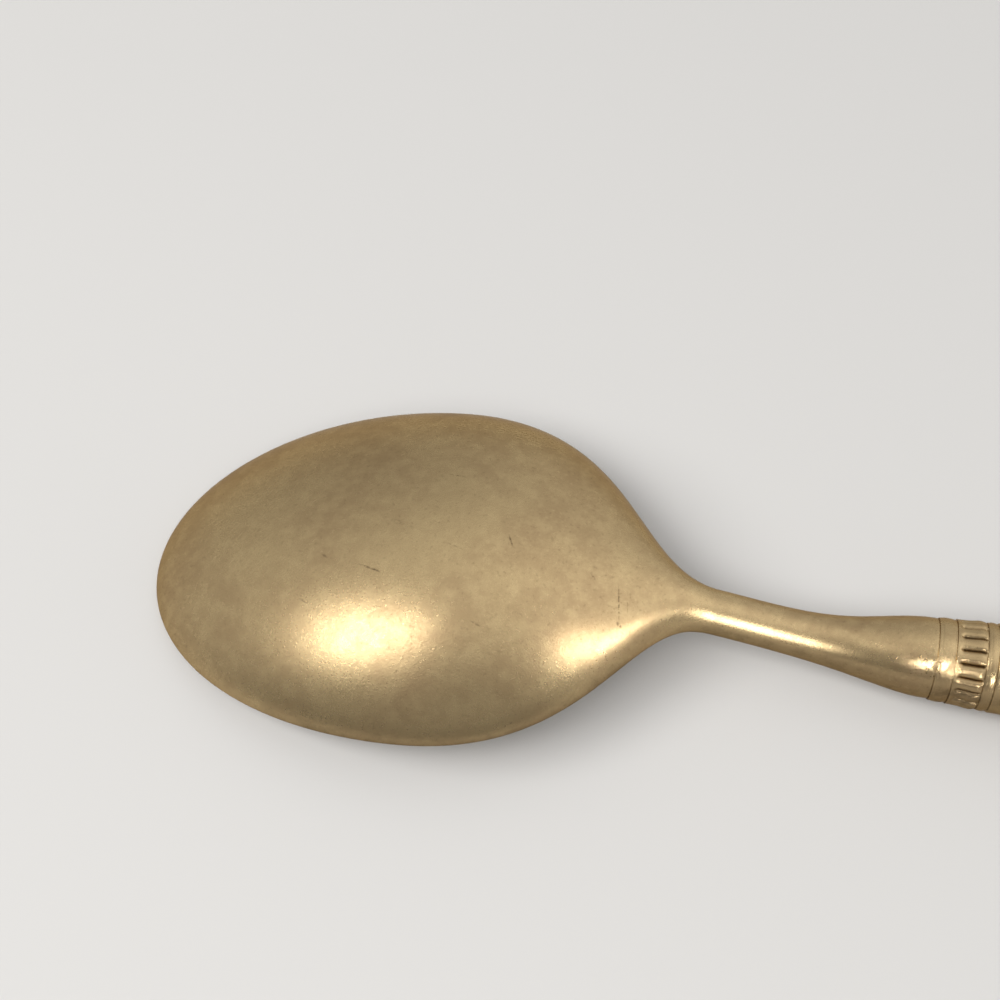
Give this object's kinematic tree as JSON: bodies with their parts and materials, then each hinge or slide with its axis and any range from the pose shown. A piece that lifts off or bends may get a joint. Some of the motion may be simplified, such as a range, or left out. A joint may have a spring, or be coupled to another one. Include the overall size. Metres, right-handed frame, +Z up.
{
  "type": "soup spoon",
  "caption": "Soup spoon with an oval bowl on a thin flared neck, a notched collar between plain rings, and a turned hollow handle with a domed end cap.",
  "frame": {"origin": "on the table, below the middle of the spoon's length, with the spoon lying face down", "axes": "+X from the bowl's tip to the handle's end, +Z up, away from the table"},
  "size_m": [0.1896, 0.0446, 0.0183],
  "materials": {
    "forged_brass": "satin, aged",
    "turned_brass": "satin, aged",
    "notched_brass": "aged, dark in the notches",
    "barrel_brass": "satin, aged",
    "filler_cement": "matte"
  },
  "bodies": {
    "root": {"bowl_and_neck": "forged_brass", "bead_ring": "turned_brass", "notched_collar": "notched_brass", "rear_ring": "turned_brass", "handle_barrel": "barrel_brass", "handle_core": "filler_cement", "end_ring": "turned_brass", "end_cap": "barrel_brass"}
  },
  "joints": []
}
